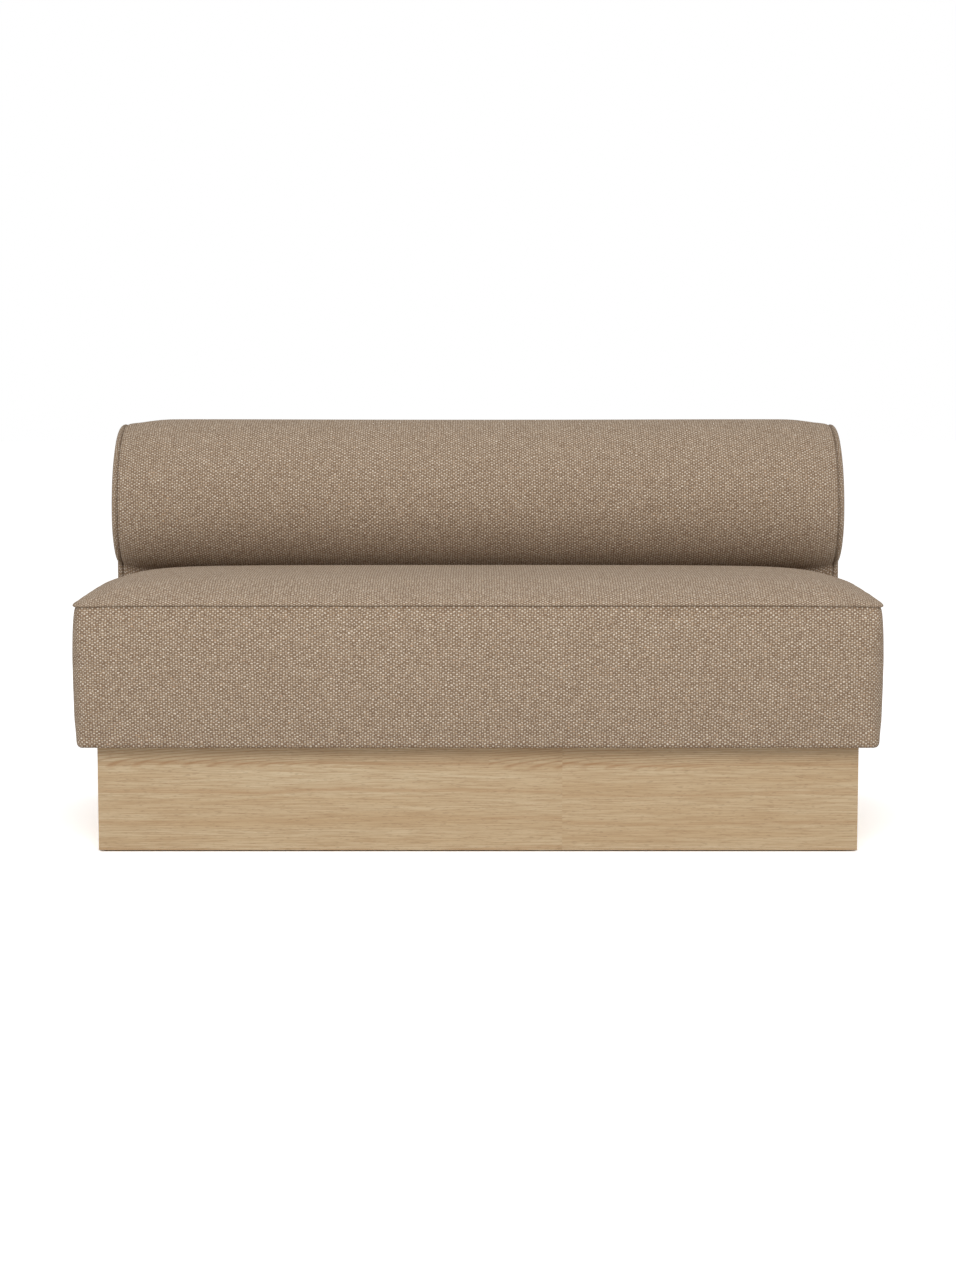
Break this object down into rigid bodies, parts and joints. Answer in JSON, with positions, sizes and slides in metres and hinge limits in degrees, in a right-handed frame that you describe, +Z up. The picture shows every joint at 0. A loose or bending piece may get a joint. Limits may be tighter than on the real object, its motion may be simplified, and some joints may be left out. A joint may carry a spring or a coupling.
{
  "type": "dining sofa",
  "caption": "Dining sofa with a crowned upholstered seat block, a round-fronted bolster back and a set-back oak-veneered plinth on screw-in levelling feet.",
  "frame": {"origin": "on the floor, under the middle of the sofa", "axes": "+Z up, +X along the width, the sofa faces -Y"},
  "size_m": [1.5, 0.75, 0.79],
  "materials": {
    "oak_veneer": "satin",
    "beech": "matte",
    "plywood": "matte",
    "cloth": "matte",
    "foam": "matte",
    "felt": "matte",
    "zinc_steel": "satin",
    "spring_steel": "satin",
    "nylon": "matte"
  },
  "bodies": {
    "sofa": {"plinth_front_panel": "oak_veneer", "plinth_back_panel": "oak_veneer", "plinth_left_panel": "oak_veneer", "plinth_right_panel": "oak_veneer", "plinth_corner_blocks": "beech", "plinth_centre_brace": "beech", "plinth_front_cleat": "beech", "plinth_back_cleat": "beech", "seat_front_rail": "beech", "seat_back_rail": "beech", "seat_left_rail": "beech", "seat_right_rail": "beech", "seat_cross_rails": "beech", "seat_corner_blocks": "beech", "back_neck_board": "plywood", "back_rear_board": "plywood", "back_bolster_board": "plywood", "back_top_rail": "plywood", "back_bottom_rail": "plywood", "back_ribs": "plywood", "seat_cover_top": "cloth", "seat_cover_boxing": "cloth", "back_cover_wrap": "cloth", "back_cover_left_gusset": "cloth", "back_cover_right_gusset": "cloth", "seat_foam_core": "foam", "seat_front_padding": "foam", "seat_left_padding": "foam", "seat_right_padding": "foam", "back_foam": "foam", "back_end_wadding": "foam", "spring_felt": "felt", "seat_dust_cover": "felt", "corner_block_screws": "zinc_steel", "cleat_screws": "zinc_steel", "upholstery_mount_screws": "zinc_steel", "seat_frame_screws": "zinc_steel", "back_frame_screws": "zinc_steel", "back_bolts": "zinc_steel", "back_bolt_washers": "zinc_steel", "back_tee_nuts": "zinc_steel", "leveller_inserts": "zinc_steel", "seat_springs": "spring_steel", "spring_clips": "spring_steel"},
    "pad_front_left": {"leveller_pad_front_left": "nylon"},
    "stud_front_left": {"leveller_stud_front_left": "zinc_steel"},
    "pad_front_right": {"leveller_pad_front_right": "nylon"},
    "stud_front_right": {"leveller_stud_front_right": "zinc_steel"},
    "pad_back_left": {"leveller_pad_back_left": "nylon"},
    "stud_back_left": {"leveller_stud_back_left": "zinc_steel"},
    "pad_back_right": {"leveller_pad_back_right": "nylon"},
    "stud_back_right": {"leveller_stud_back_right": "zinc_steel"}
  },
  "joints": [
    {"name": "foot_slide_front_left", "type": "slide", "parent": "sofa", "child": "pad_front_left", "axis": [0, 0, -1], "range_m": [0, 0.015]},
    {"name": "stud_turn_front_left", "type": "hinge", "parent": "pad_front_left", "child": "stud_front_left", "pos_m": [-0.66, -0.285, 0], "axis": [0, 0, -1], "range_deg": [0, 3600]},
    {"name": "foot_slide_front_right", "type": "slide", "parent": "sofa", "child": "pad_front_right", "axis": [0, 0, -1], "range_m": [0, 0.015]},
    {"name": "stud_turn_front_right", "type": "hinge", "parent": "pad_front_right", "child": "stud_front_right", "pos_m": [0.66, -0.285, 0], "axis": [0, 0, -1], "range_deg": [0, 3600]},
    {"name": "foot_slide_back_left", "type": "slide", "parent": "sofa", "child": "pad_back_left", "axis": [0, 0, -1], "range_m": [0, 0.015]},
    {"name": "stud_turn_back_left", "type": "hinge", "parent": "pad_back_left", "child": "stud_back_left", "pos_m": [-0.66, 0.285, 0], "axis": [0, 0, -1], "range_deg": [0, 3600]},
    {"name": "foot_slide_back_right", "type": "slide", "parent": "sofa", "child": "pad_back_right", "axis": [0, 0, -1], "range_m": [0, 0.015]},
    {"name": "stud_turn_back_right", "type": "hinge", "parent": "pad_back_right", "child": "stud_back_right", "pos_m": [0.66, 0.285, 0], "axis": [0, 0, -1], "range_deg": [0, 3600]}
  ],
  "couplings": [
    {"joint": "foot_slide_front_left", "follows": "stud_turn_front_left", "m_per_rad": 0.0002387},
    {"joint": "foot_slide_front_right", "follows": "stud_turn_front_right", "m_per_rad": 0.0002387},
    {"joint": "foot_slide_back_left", "follows": "stud_turn_back_left", "m_per_rad": 0.0002387},
    {"joint": "foot_slide_back_right", "follows": "stud_turn_back_right", "m_per_rad": 0.0002387}
  ]
}
